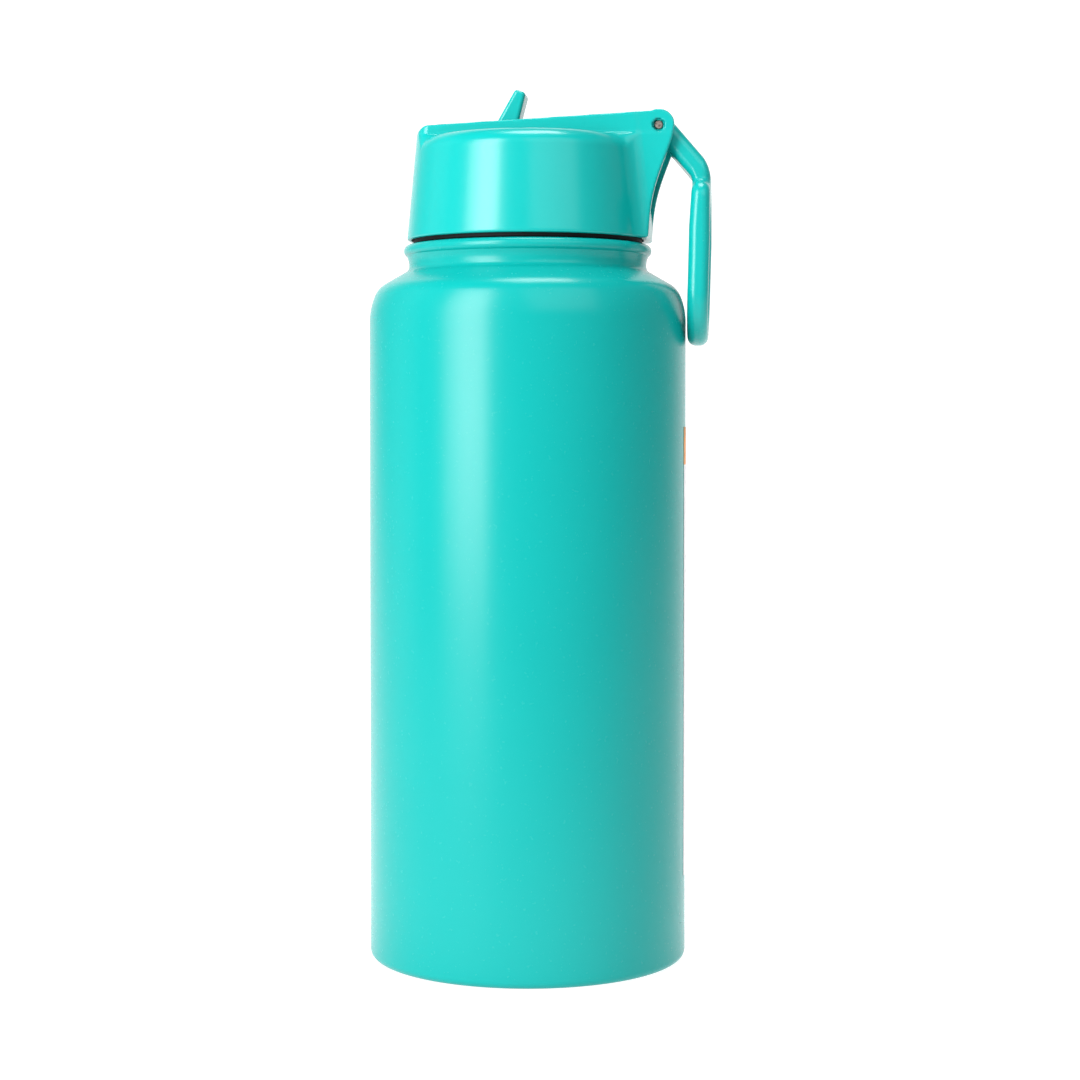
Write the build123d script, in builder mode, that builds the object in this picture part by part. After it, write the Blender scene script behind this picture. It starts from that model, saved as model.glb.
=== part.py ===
from build123d import *
import math
import os

os.makedirs("parts", exist_ok=True)

# Millimetres, +Z up. Origin: centre of the circle the bottle stands on.
# +X points to the carry handle, the spout folds towards +X.

# Flask
BODY_R = 45.0
FOOT_R = 2.2            # rounded corner at the foot
SHOULDER_Z = 180.6
NECK_R = 33.8
LIP_Z = 202.6
BEAD_R = 1.7            # rolled bead just under the lip
BEAD_CENTRE = (33.55, LIP_Z - BEAD_R)
SEAM_R = 30.8           # weld between outer shell and inner flask at the lip
SHOULDER_ARCS = ((20.0, 21.7), (7.0, 38.3))
OUTER_WALL = 0.5
PAN_R = BODY_R - OUTER_WALL - 0.02
PAN_Z = 6.2
EVAC_R = 1.6            # hole through which the wall space is emptied
INNER_WALL = 0.4
INNER_R = 40.4          # inside radius of the food vessel
INNER_FLOOR_Z = 10.2
MOUTH_R = 29.0

# Retail label, degrees round from +X towards +Y
LABEL_LOW = 24.0
LABEL_HEIGHT = 127.0
LABEL_START = -6.6
LABEL_ARC = 92.0
LABEL_THICK = 0.15

# Thread, right-handed
PITCH = 4.0
THREAD_TURNS = 1.25
FEMALE_Z = 190.5        # middle of the female ridge where it starts
FEMALE_DEPTH = 1.1
MALE_DEPTH = 1.1

# Lid
LID_Z = 203.9           # bottom edge of the lid skirt
LID_R = 34.35
LID_TOP_R = 32.05
CROWN_Z = 228.3         # where the side wall turns over
CROWN_R = 4.5
LID_TOP_Z = CROWN_Z + CROWN_R
SADDLE_HALF = 12.0
CHEEK = 2.8
SADDLE_FRONT_TOP = 235.6
CHEEK_TIP_R = 4.4
FORK_FLOOR_Z = 226.4
SADDLE_SLOPE = math.radians(3.0)
CEILING_Z = 221.6       # underside of the lid deck
SKIRT_BORE = 33.0       # radius inside the skirt, round the bead
LEDGE_R = 31.0          # step that the plug flange is welded to
CAVITY_R = 29.2
PLUG_R = 27.5
PLUG_WALL = 2.2
PLUG_FLOOR_Z = 184.5
FLANGE_Z = 206.2
LEDGE_Z = 208.6
RISER_LOW_Z = 179.5
SEAL_LOW_Z = 219.4
VENT_X = 14.0
VENT_R = 1.6
STRAW_R = 4.0
STRAW_WALL = 0.75
STRAW_TOP_Z = 197.0
STRAW_LOW_Z = 14.0

# Spout
SPOUT_X = -8.3
SPOUT_Z = 229.5
SPOUT_LEAN = 22.0
SPOUT_LENGTH = 17.9
BARREL_R = 5.0
BARREL_HALF = 7.0
SPOUT_HALF = 4.75
TRUNNION_R = 2.0
TRUNNION_HALF = 8.8
DUCT_R = 2.6
SPOUT_WELL = BARREL_R + 0.4
CHANNEL_HALF = BARREL_HALF + 0.4
SEAL_R = 4.55           # silicone seat that hugs the barrel

# Handle
PIN_X = 37.8
PIN_Z = 235.2
PIN_R = 1.25
HANDLE_BARREL_R = 3.7
HANDLE_OUT_X = 52.0
HANDLE_IN_X = 46.2
HANDLE_TUCK = 0.3       # the loop's lower end leans towards the flask
HANDLE_LOW_Z = 174.0
LOOP_TOP_Z = 219.6      # shoulders of the loop, either side of the arm
HANDLE_HALF = 15.0
ARM_HALF = 8.7
ARM_ANGLE = 49.4        # slope of the arm below the horizontal
WINDOW_HALF = 9.0
WINDOW_LOW_Z = 180.0
WINDOW_TOP_Z = 213.0


# ---------------------------------------------------------------- flask

def up_to_neck(side_r, start_z, arcs, neck_r, root_r, inset):
    """Draw side wall into neck: convex arcs, a straight cone, a concave root. Returns its two ends."""
    turned = 0
    centre = Vector(side_r - arcs[0][0], start_z)
    path = JernArc((side_r - inset, start_z), (0, 1), arcs[0][0] - inset, arcs[0][1])
    start = path @ 0
    for (last_r, last_turn), (radius, turn) in zip(arcs, arcs[1:]):
        turned += last_turn
        centre += Vector(last_r - radius, 0).rotate(Axis.Z, turned)
        path = JernArc(path @ 1, path % 1, radius - inset, turn)
    turned = math.radians(turned + arcs[-1][1])
    rise = arcs[-1][0] + root_r - (neck_r + root_r - centre.X) * math.cos(turned)
    root = Vector(neck_r + root_r, centre.Y + rise / math.sin(turned))
    slant = Line(path @ 1, root - Vector(math.cos(turned), math.sin(turned)) * (root_r + inset))
    bend = JernArc(slant @ 1, slant % 1, root_r + inset, -math.degrees(turned))
    return start, bend @ 1


# Outer wall, from the foot rolled under to the bead and the weld at the lip.
with BuildPart() as outer_shell:
    with BuildSketch(Plane.XZ):
        with BuildLine():
            low, high = up_to_neck(BODY_R, SHOULDER_Z, SHOULDER_ARCS, NECK_R, 2.0, 0)
            foot = Line((41.2, 0), (BODY_R - FOOT_R, 0))
            corner = RadiusArc(foot @ 1, (BODY_R, FOOT_R), -FOOT_R)
            Line(corner @ 1, low)
            neck = Line(high, (NECK_R, LIP_Z - 2 * BEAD_R + 0.02))
            bead = ThreePointArc(
                neck @ 1, (BEAD_CENTRE[0] + BEAD_R, BEAD_CENTRE[1]), (BEAD_CENTRE[0], LIP_Z)
            )
            low, high = up_to_neck(BODY_R, SHOULDER_Z, SHOULDER_ARCS, NECK_R, 2.0, OUTER_WALL)
            Polyline(
                bead @ 1, (SEAM_R, LIP_Z), (SEAM_R, LIP_Z - OUTER_WALL),
                (NECK_R - OUTER_WALL, LIP_Z - OUTER_WALL), high,
            )
            side = Line(low, (BODY_R - OUTER_WALL, FOOT_R))
            heel = RadiusArc(side @ 1, (BODY_R - FOOT_R, OUTER_WALL), FOOT_R - OUTER_WALL)
            Polyline(heel @ 1, (41.2, OUTER_WALL), (41.2, 0))
        make_face()
    revolve(axis=Axis.Z)
outer_shell.part.label = "outer_shell"
export_step(outer_shell.part, "parts/outer_shell.step")

# Pressed pan that closes the foot, welded to the wall by its down-turned edge.
with BuildPart() as base_pan:
    with BuildSketch(Plane.XZ):
        with BuildLine():
            Polyline(
                (EVAC_R, PAN_Z), (PAN_R, PAN_Z), (PAN_R, 2.6), (PAN_R - OUTER_WALL, 2.6),
                (PAN_R - OUTER_WALL, PAN_Z - OUTER_WALL), (EVAC_R, PAN_Z - OUTER_WALL), close=True,
            )
        make_face()
    revolve(axis=Axis.Z)
    bends = base_pan.edges().filter_by(GeomType.CIRCLE).filter_by(lambda e: e.radius > 40 and e.center().Z > 5)
    fillet(bends.sort_by(Axis.Z)[-1], 2.5)
    bends = base_pan.edges().filter_by(GeomType.CIRCLE).filter_by(lambda e: e.radius > 40)
    fillet(bends.filter_by(lambda e: abs(e.center().Z - PAN_Z + OUTER_WALL) < 0.01), 1.8)
base_pan.part.label = "base_pan"
export_step(base_pan.part, "parts/base_pan.step")

# Bead of solder that closes the evacuation hole from below.
with BuildPart() as evac_seal:
    with BuildSketch(Plane.XZ):
        with BuildLine():
            Polyline(
                (0, PAN_Z), (EVAC_R - 0.02, PAN_Z), (EVAC_R - 0.02, PAN_Z - OUTER_WALL),
                (3.2, PAN_Z - OUTER_WALL), (2.5, PAN_Z - 1.5), (1.2, PAN_Z - 1.9), (0, PAN_Z - 1.9), close=True,
            )
        make_face()
    revolve(axis=Axis.Z)
evac_seal.part.label = "evac_seal"
export_step(evac_seal.part, "parts/evac_seal.step")

# Cover disc, dished up from the standing rim of the foot.
with BuildPart() as base_cover:
    with BuildSketch(Plane.XZ):
        with BuildLine():
            Polyline(
                (0, 2.0), (36.3, 2.0), (39.0, 0.75), (41.18, 0.75), (41.18, 0.15), (38.8, 0.15), (36.1, 1.4),
                (0, 1.4), close=True,
            )
        make_face()
    revolve(axis=Axis.Z)
    bends = base_cover.edges().filter_by(GeomType.CIRCLE)
    fillet(bends.filter_by(lambda e: 36 < e.radius < 40), 0.8)
base_cover.part.label = "base_cover"
export_step(base_cover.part, "parts/base_cover.step")

# Food vessel: bare steel, welded to the outer shell at the lip.
with BuildPart() as inner_flask:
    with BuildSketch(Plane.XZ):
        with BuildLine():
            low, high = up_to_neck(INNER_R, 174.0, ((9.0, 60.0),), MOUTH_R, 4.0, 0)
            floor = Line((0, INNER_FLOOR_Z), (INNER_R - 8, INNER_FLOOR_Z))
            heel = RadiusArc(floor @ 1, (INNER_R, INNER_FLOOR_Z + 8), -8)
            Line(heel @ 1, low)
            tube = Line(high, (MOUTH_R, LIP_Z - 1.4))
            flare = RadiusArc(tube @ 1, (MOUTH_R + 1.4, LIP_Z), 1.4)
            low, high = up_to_neck(INNER_R, 174.0, ((9.0, 60.0),), MOUTH_R, 4.0, -INNER_WALL)
            lip = Polyline(
                flare @ 1, (SEAM_R - 0.02, LIP_Z), (SEAM_R - 0.02, LIP_Z - INNER_WALL),
                (MOUTH_R + 1.4, LIP_Z - INNER_WALL),
            )
            roll = RadiusArc(lip @ 1, (MOUTH_R + INNER_WALL, LIP_Z - 1.4), INNER_WALL - 1.4)
            Line(roll @ 1, high)
            side = Line(low, (INNER_R + INNER_WALL, INNER_FLOOR_Z + 8))
            toe = RadiusArc(side @ 1, (INNER_R - 8, INNER_FLOOR_Z - INNER_WALL), 8 + INNER_WALL)
            Polyline(toe @ 1, (0, INNER_FLOOR_Z - INNER_WALL), (0, INNER_FLOOR_Z))
        make_face()
    revolve(axis=Axis.Z)
    # Female thread: one ridge wound inside the neck.
    with BuildLine():
        Helix(pitch=PITCH, height=PITCH * THREAD_TURNS, radius=MOUTH_R, center=(0, 0, FEMALE_Z))
    with BuildSketch(Plane((MOUTH_R, 0, FEMALE_Z), x_dir=(1, 0, 0), z_dir=(0, -1, 0))):
        with BuildLine():
            Polyline(
                (0.25, -1.1), (0, -1.0), (-FEMALE_DEPTH, -0.35), (-FEMALE_DEPTH, 0.35), (0, 1.0), (0.25, 1.1),
                close=True,
            )
        make_face()
    sweep(is_frenet=True)
inner_flask.part.label = "inner_flask"
export_step(inner_flask.part, "parts/inner_flask.step")

# Getter pellet in its cup, brazed under the food vessel.
with BuildPart() as getter:
    with BuildSketch(Plane.XY.offset(INNER_FLOOR_Z - INNER_WALL)):
        with Locations((14, 0)):
            Circle(5)
    extrude(amount=-1.6)
    chamfer(getter.edges().sort_by(Axis.Z)[0], length=0.4)
getter.part.label = "getter"
export_step(getter.part, "parts/getter.step")

# Retail label: a thin paper skin wrapped on the wall.
with BuildPart() as wrap_label:
    with BuildSketch(Plane.XZ):
        with Locations((BODY_R + LABEL_THICK / 2 + 0.01, LABEL_LOW + LABEL_HEIGHT / 2)):
            Rectangle(LABEL_THICK, LABEL_HEIGHT)
    revolve(axis=Axis.Z, revolution_arc=LABEL_ARC)
wrap_label.part = wrap_label.part.rotate(Axis.Z, LABEL_START)
wrap_label.part.label = "wrap_label"
export_step(wrap_label.part, "parts/wrap_label.step")


# ---------------------------------------------------------------- lid

# Silicone washer that squeezes between the lid and the mouth lip.
with BuildPart() as lid_gasket:
    with BuildSketch(Plane.XY.offset(LIP_Z + 0.3)):
        Circle(32.6)
        Circle(PLUG_R + 0.07, mode=Mode.SUBTRACT)
    extrude(amount=FLANGE_Z - LIP_Z - 0.6)
    chamfer(lid_gasket.edges().group_by(Axis.Z)[-1], length=0.4)
lid_gasket.part.label = "lid_gasket"
export_step(lid_gasket.part, "parts/lid_gasket.step")


def saddle_top(x):
    """Height of the cheeks' top edge at x."""
    return SADDLE_FRONT_TOP + (x + LID_TOP_R) * math.tan(SADDLE_SLOPE)


def lid_cone(low, high):
    """Solid cone of the lid's side wall between two heights."""
    taper = (LID_R - LID_TOP_R) / (CROWN_Z - LID_Z)
    with BuildPart(mode=Mode.PRIVATE) as cone:
        with BuildSketch(Plane.XZ):
            with BuildLine():
                Polyline(
                    (0, low), (LID_R - taper * (low - LID_Z), low), (LID_R - taper * (high - LID_Z), high),
                    (0, high), close=True,
                )
            make_face()
        revolve(axis=Axis.Z)
    return cone.part


# The saddle may not stand out of the side wall at the front.
with BuildPart() as lid_limit:
    add(lid_cone(LID_Z, LID_Z + 40))
    with Locations((40, 0, LID_Z + 20)):
        Box(80, 90, 40)

# Saddle: one block across the lid that rises to the two handle cheeks.
with BuildPart() as saddle:
    with BuildSketch(Plane.XZ):
        with BuildLine():
            Polyline(
                (-40, saddle_top(-40)), (PIN_X, saddle_top(PIN_X)), (PIN_X, PIN_Z), (20, 215), (20, 222),
                (-40, 222), close=True,
            )
        make_face()
        with BuildLine():
            rear = Spline(
                (34.9, LID_Z), (35.3, 209.6), (36.1, 215.3), (37.4, 220.2), (39.2, 225.3), (42.0, 233.6)
            )
            Polyline(rear @ 1, (PIN_X, PIN_Z), (20, PIN_Z), (20, LID_Z), rear @ 0)
        make_face()
        with Locations((PIN_X, PIN_Z)):
            Circle(CHEEK_TIP_R)
    extrude(amount=SADDLE_HALF, both=True)
    add(lid_limit.part, mode=Mode.INTERSECT)

with BuildPart() as lid_shell:
    add(lid_cone(LID_Z, LID_TOP_Z))
    add(saddle.part)
    # The cheeks flow into the side wall, then the top edge turns over.
    flanks = lid_shell.edges().filter_by(
        lambda e: e.center().X > 28 and 1 > abs(abs(e.center().Y) - SADDLE_HALF) and 212 < e.center().Z < 222
        and e.center().X < 34
    )
    fillet(flanks, 4.0)
    crown = lid_shell.edges().filter_by(GeomType.CIRCLE).filter_by(
        lambda e: abs(e.center().Z - LID_TOP_Z) < 0.05 and e.length > 20
    )
    fillet(crown, CROWN_R)
    brow = lid_shell.edges().filter_by(
        lambda e: e.center().X < -28 and e.center().Z > LID_TOP_Z + 1 and e.length > 10
    )
    fillet(brow, 3.0)
    skirt = lid_shell.edges().filter_by(GeomType.CIRCLE).filter_by(
        lambda e: abs(e.center().Z - LID_Z) < 0.05 and e.length > 40
    )
    fillet(skirt, 0.7)

    # Between the cheeks: the fork for the handle barrel, open to the rear and downwards.
    with BuildSketch(Plane.XZ):
        with BuildLine():
            Polyline(
                (13.0, 245), (13.0, FORK_FLOOR_Z), (31.0, FORK_FLOOR_Z), (33.6, FORK_FLOOR_Z - 3.0),
                (36.0, LID_Z - 2), (60, LID_Z - 2), (60, 245), close=True,
            )
        make_face()
    extrude(amount=SADDLE_HALF - CHEEK, both=True, mode=Mode.SUBTRACT)

    # Channel that the spout turns in, and its finger scoop.
    with BuildSketch(Plane.XZ):
        with Locations((SPOUT_X, SPOUT_Z)):
            Circle(SPOUT_WELL)
        with BuildLine():
            Polyline(
                (SPOUT_X - SPOUT_WELL, 245), (SPOUT_X - SPOUT_WELL, SPOUT_Z), (SPOUT_X, SPOUT_Z - SPOUT_WELL + 0.6),
                (14.0, FORK_FLOOR_Z), (14.0, 245), close=True,
            )
        make_face()
    extrude(amount=CHANNEL_HALF, both=True, mode=Mode.SUBTRACT)

    # Hollow underside: skirt, ledge for the plug, cavity, pocket under the front deck.
    with BuildSketch(Plane.XY.offset(LID_Z - 1)):
        Circle(SKIRT_BORE)
    extrude(amount=FLANGE_Z - LID_Z + 1, mode=Mode.SUBTRACT)
    with BuildSketch(Plane.XY.offset(FLANGE_Z - 0.5)):
        Circle(LEDGE_R)
    extrude(amount=LEDGE_Z - FLANGE_Z + 0.5, mode=Mode.SUBTRACT)
    with BuildSketch(Plane.XY.offset(LEDGE_Z - 0.5)):
        Circle(CAVITY_R)
    extrude(amount=CEILING_Z - LEDGE_Z + 0.5, taper=3, mode=Mode.SUBTRACT)
    with BuildSketch(Plane.XY.offset(CEILING_Z - 0.5)):
        with Locations((-21.2, 0)):
            RectangleRounded(9.6, 15, 2)
    extrude(amount=11.5, mode=Mode.SUBTRACT)

    # Bore for the seat seal, trunnion sockets, pin bores, vent.
    with BuildSketch(Plane.XY.offset(CEILING_Z - 1)):
        with Locations((SPOUT_X, 0)):
            Circle(SEAL_R + 0.02)
        with Locations((6.0, 0)):
            Circle(1.5)
    extrude(amount=6, mode=Mode.SUBTRACT)
    with BuildSketch(Plane.XZ):
        with Locations((SPOUT_X, SPOUT_Z)):
            Circle(TRUNNION_R + 0.06)
    extrude(amount=TRUNNION_HALF + 0.3, both=True, mode=Mode.SUBTRACT)
    with BuildSketch(Plane.XZ):
        with Locations((PIN_X, PIN_Z)):
            Circle(PIN_R)
    extrude(amount=20, both=True, mode=Mode.SUBTRACT)
    with BuildSketch(Plane.XZ.offset(SADDLE_HALF), Plane.XZ.offset(-SADDLE_HALF)):
        with Locations((PIN_X, PIN_Z)):
            Circle(PIN_R + 0.4)
    extrude(amount=1.0, both=True, mode=Mode.SUBTRACT)
lid_shell.part.label = "lid_shell"
export_step(lid_shell.part, "parts/lid_shell.step")

# Liner pressed and welded into the lid: wall with the male thread, floor, flange and straw riser.
with BuildPart() as threaded_plug:
    with BuildSketch(Plane.XZ):
        with BuildLine():
            Polyline(
                (0, PLUG_FLOOR_Z), (PLUG_R - 1.2, PLUG_FLOOR_Z), (PLUG_R, PLUG_FLOOR_Z + 1.2), (PLUG_R, FLANGE_Z),
                (LEDGE_R - 0.03, FLANGE_Z), (LEDGE_R - 0.03, LEDGE_Z), (PLUG_R - PLUG_WALL, LEDGE_Z),
                (PLUG_R - PLUG_WALL, PLUG_FLOOR_Z + 2.4), (0, PLUG_FLOOR_Z + 2.4), close=True,
            )
        make_face()
    revolve(axis=Axis.Z)
    with BuildSketch(Plane.XY.offset(RISER_LOW_Z)):
        with Locations((SPOUT_X, 0)):
            Circle(6.2)
    extrude(amount=CEILING_Z - RISER_LOW_Z)
    with BuildSketch(Plane.XY.offset(RISER_LOW_Z - 1)):
        with Locations((SPOUT_X, 0)):
            Circle(STRAW_R)
    extrude(amount=STRAW_TOP_Z - RISER_LOW_Z + 1, mode=Mode.SUBTRACT)
    with BuildSketch(Plane.XY.offset(STRAW_TOP_Z - 1)):
        with Locations((SPOUT_X, 0)):
            Circle(STRAW_R - STRAW_WALL)
    extrude(amount=CEILING_Z - STRAW_TOP_Z + 2, mode=Mode.SUBTRACT)
    with BuildSketch(Plane.XY.offset(SEAL_LOW_Z)):
        with Locations((SPOUT_X, 0)):
            Circle(SEAL_R + 0.02)
    extrude(amount=10, mode=Mode.SUBTRACT)
    with BuildSketch(Plane.XY.offset(PLUG_FLOOR_Z - 1)):
        with Locations((VENT_X, 0)):
            Circle(VENT_R)
    extrude(amount=6, mode=Mode.SUBTRACT)
    # Male thread: one ridge, half a pitch away from the female one.
    with BuildLine():
        Helix(pitch=PITCH, height=PITCH * THREAD_TURNS, radius=PLUG_R, center=(0, 0, FEMALE_Z - PITCH / 2))
    with BuildSketch(Plane((PLUG_R, 0, FEMALE_Z - PITCH / 2), x_dir=(1, 0, 0), z_dir=(0, -1, 0))):
        with BuildLine():
            Polyline((-0.25, -0.95), (0, -0.85), (MALE_DEPTH, -0.3), (MALE_DEPTH, 0.3), (0, 0.85), (-0.25, 0.95),
                     close=True)
        make_face()
    sweep(is_frenet=True)
threaded_plug.part.label = "threaded_plug"
export_step(threaded_plug.part, "parts/threaded_plug.step")

# Silicone seat: stands in the riser and hugs the underside of the spout barrel.
with BuildPart() as seat_seal:
    with BuildSketch(Plane.XY.offset(SEAL_LOW_Z)):
        with Locations((SPOUT_X, 0)):
            Circle(SEAL_R)
            Circle(DUCT_R, mode=Mode.SUBTRACT)
    extrude(amount=SPOUT_Z - BARREL_R + 1.2 - SEAL_LOW_Z)
    with BuildSketch(Plane.XZ):
        with Locations((SPOUT_X, SPOUT_Z)):
            Circle(BARREL_R + 0.06)
    extrude(amount=10, both=True, mode=Mode.SUBTRACT)
seat_seal.part.label = "seat_seal"
export_step(seat_seal.part, "parts/seat_seal.step")

# Silicone vent plugged into the floor: it lets air in as the drink is drawn.
with BuildPart() as vent_valve:
    with BuildSketch(Plane.XZ):
        with BuildLine():
            Polyline(
                (0.5, PLUG_FLOOR_Z - 0.9), (3.6, PLUG_FLOOR_Z - 0.9), (3.6, PLUG_FLOOR_Z),
                (VENT_R - 0.02, PLUG_FLOOR_Z), (VENT_R - 0.02, PLUG_FLOOR_Z + 2.4), (2.8, PLUG_FLOOR_Z + 2.4),
                (1.6, PLUG_FLOOR_Z + 4.4), (0.5, PLUG_FLOOR_Z + 4.4), close=True,
            )
        make_face()
    revolve(axis=Axis.Z)
vent_valve.part = vent_valve.part.translate((VENT_X, 0, 0))
vent_valve.part.label = "vent_valve"
export_step(vent_valve.part, "parts/vent_valve.step")

# Straw: plain tube pushed up into the riser.
with BuildPart() as straw:
    with BuildSketch(Plane.XY.offset(STRAW_LOW_Z)):
        with Locations((SPOUT_X, 0)):
            Circle(STRAW_R - 0.02)
            Circle(STRAW_R - STRAW_WALL, mode=Mode.SUBTRACT)
    extrude(amount=STRAW_TOP_Z - STRAW_LOW_Z)
straw.part.label = "straw"
export_step(straw.part, "parts/straw.step")

# Steel pin pressed through both cheeks, its ends sunk in the counterbores.
with BuildPart() as handle_pin:
    with BuildSketch(Plane.XZ):
        with Locations((PIN_X, PIN_Z)):
            Circle(PIN_R)
    extrude(amount=SADDLE_HALF - 0.6, both=True)
    chamfer(handle_pin.edges().filter_by(GeomType.CIRCLE), length=0.25)
handle_pin.part.label = "handle_pin"
export_step(handle_pin.part, "parts/handle_pin.step")


# ---------------------------------------------------------------- moving pieces

# Spout, modelled upright about its barrel axis and then leaned to the rear.
with BuildPart() as spout_upright:
    with BuildSketch(Plane.XZ):
        Circle(BARREL_R)
    extrude(amount=BARREL_HALF, both=True)
    with BuildSketch(Plane.XZ):
        with BuildLine():
            Polyline((-4.0, 0), (-1.6, SPOUT_LENGTH), (1.6, SPOUT_LENGTH), (4.0, 0), close=True)
        make_face()
    extrude(amount=SPOUT_HALF, both=True)
    fillet(spout_upright.edges().filter_by(Axis.Y).sort_by(Axis.Z)[-2:], 0.9)
    with BuildSketch(Plane.XZ):
        Circle(TRUNNION_R)
    extrude(amount=TRUNNION_HALF, both=True)
    with BuildSketch(Plane.XY.offset(-1)):
        SlotOverall(6.0, 1.5, rotation=90)
    extrude(amount=SPOUT_LENGTH + 2, mode=Mode.SUBTRACT)
spout_body = spout_upright.part.rotate(Axis.Y, SPOUT_LEAN).translate((SPOUT_X, 0, SPOUT_Z))
with BuildPart() as spout:
    add(spout_body)
    with BuildSketch(Plane.XY.offset(SPOUT_Z - BARREL_R - 1)):
        with Locations((SPOUT_X, 0)):
            Circle(DUCT_R - 0.3)
    extrude(amount=BARREL_R + 1, mode=Mode.SUBTRACT)
spout.part.label = "spout"
export_step(spout.part, "parts/spout.step")

# Carry handle: side outline crossed with front outline, then rounded.
down = Vector(math.cos(math.radians(ARM_ANGLE)), -math.sin(math.radians(ARM_ANGLE)))
across = Vector(-down.Y, down.X)
arm_out = Vector(PIN_X, PIN_Z) + across * HANDLE_BARREL_R
arm_in = Vector(PIN_X, PIN_Z) - across * 2.4
knee_out = arm_out + down * ((HANDLE_OUT_X + 0.1 - arm_out.X) / down.X)
knee_in = arm_in + down * ((HANDLE_IN_X + 0.8 - arm_in.X) / down.X)
with BuildPart() as carry_handle:
    with BuildSketch(Plane.XZ):
        with BuildLine():
            outline = Polyline(
                knee_in, arm_in, arm_out, knee_out, (HANDLE_OUT_X - HANDLE_TUCK, HANDLE_LOW_Z),
                (HANDLE_IN_X - HANDLE_TUCK, HANDLE_LOW_Z),
                (HANDLE_IN_X, 203),
            )
            Spline(outline @ 1, knee_in, tangents=((0, 1), (0.1, 1)))
        make_face()
        with Locations((PIN_X, PIN_Z)):
            Circle(HANDLE_BARREL_R)
    extrude(amount=HANDLE_HALF, both=True)
    for height, bend_r in ((knee_out.Y, 9.0), (knee_in.Y, 3.0)):
        fillet(carry_handle.edges().filter_by(lambda e: abs(e.center().Z - height) < 0.01), bend_r)
    with BuildSketch(Plane.YZ.offset(30)):
        with BuildLine():
            arm = Polyline((0, 245), (ARM_HALF, 245), (ARM_HALF, LOOP_TOP_Z + 1.5))
            armpit = JernArc(arm @ 1, (0, -1), 1.5, 90)
            shoulder = JernArc(armpit @ 1, (1, 0), HANDLE_HALF - ARM_HALF - 1.5, -90)
            leg = Line(shoulder @ 1, (HANDLE_HALF, HANDLE_LOW_Z + HANDLE_HALF))
            RadiusArc(leg @ 1, (0, HANDLE_LOW_Z), HANDLE_HALF)
            mirror(about=Plane.YZ)
        make_face()
        with Locations((0, (WINDOW_LOW_Z + WINDOW_TOP_Z) / 2)):
            SlotOverall(WINDOW_TOP_Z - WINDOW_LOW_Z, 2 * WINDOW_HALF, rotation=90, mode=Mode.SUBTRACT)
    extrude(amount=30, mode=Mode.INTERSECT)
    # Everything is rounded except the lines that run straight across the arm.
    straight = carry_handle.edges().filter_by(GeomType.LINE)
    square = straight.filter_by(Axis.Y) + straight.filter_by(Axis.X)
    fillet([e for e in carry_handle.edges() if e not in square], 2.4)
    with BuildSketch(Plane.XZ):
        with Locations((PIN_X, PIN_Z)):
            Circle(PIN_R + 0.06)
    extrude(amount=20, both=True, mode=Mode.SUBTRACT)
carry_handle.part.label = "carry_handle"
export_step(carry_handle.part, "parts/carry_handle.step")
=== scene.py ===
import math
import bpy
import numpy as np
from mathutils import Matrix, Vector


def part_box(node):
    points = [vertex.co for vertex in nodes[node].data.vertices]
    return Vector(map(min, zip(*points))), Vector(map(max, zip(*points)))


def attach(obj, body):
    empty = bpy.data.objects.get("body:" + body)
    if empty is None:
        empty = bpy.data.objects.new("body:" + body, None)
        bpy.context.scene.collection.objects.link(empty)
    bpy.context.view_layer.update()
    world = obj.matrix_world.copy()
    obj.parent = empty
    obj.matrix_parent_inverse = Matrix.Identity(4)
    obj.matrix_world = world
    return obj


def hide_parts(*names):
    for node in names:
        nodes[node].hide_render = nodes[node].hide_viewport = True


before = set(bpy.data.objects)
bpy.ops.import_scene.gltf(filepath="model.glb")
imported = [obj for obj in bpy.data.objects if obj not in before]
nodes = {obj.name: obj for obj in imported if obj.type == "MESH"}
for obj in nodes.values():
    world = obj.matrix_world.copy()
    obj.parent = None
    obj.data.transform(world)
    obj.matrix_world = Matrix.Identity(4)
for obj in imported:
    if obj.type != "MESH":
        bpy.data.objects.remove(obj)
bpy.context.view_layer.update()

# ---------------------------------------------------------------------------
# FOOD VESSEL. Spun stainless steel, 0.4 mm, welded to the outer wall at the
# lip, with the female thread rolled into its neck. The pan that closes the
# foot, its seal bead and the getter are bare metal too.
# ---------------------------------------------------------------------------


def finish_nodes(name):
    """New material: returns it with its node tree and its Principled shader."""
    material = bpy.data.materials.new(name)
    material.use_nodes = True
    tree = material.node_tree
    return material, tree, tree.nodes["Principled BSDF"]


def grain(tree, scale, detail=3.0, stretch=(1, 1, 1)):
    """Noise on the piece's own coordinates: scale is features per metre, stretch squeezes it per axis."""
    where = tree.nodes.new("ShaderNodeTexCoord")
    squeeze = tree.nodes.new("ShaderNodeMapping")
    squeeze.inputs["Scale"].default_value = stretch
    noise = tree.nodes.new("ShaderNodeTexNoise")
    noise.inputs["Scale"].default_value = scale
    noise.inputs["Detail"].default_value = detail
    tree.links.new(where.outputs["Object"], squeeze.inputs["Vector"])
    tree.links.new(squeeze.outputs["Vector"], noise.inputs["Vector"])
    return noise.outputs["Fac"]


def spread(tree, value, low, high):
    """Map the middle half of a 0 to 1 value linearly onto low to high, and hold the ends."""
    ramp = tree.nodes.new("ShaderNodeMapRange")
    ramp.inputs["From Min"].default_value = 0.25
    ramp.inputs["From Max"].default_value = 0.75
    ramp.inputs["To Min"].default_value = low
    ramp.inputs["To Max"].default_value = high
    tree.links.new(value, ramp.inputs["Value"])
    return ramp.outputs["Result"]


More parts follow.
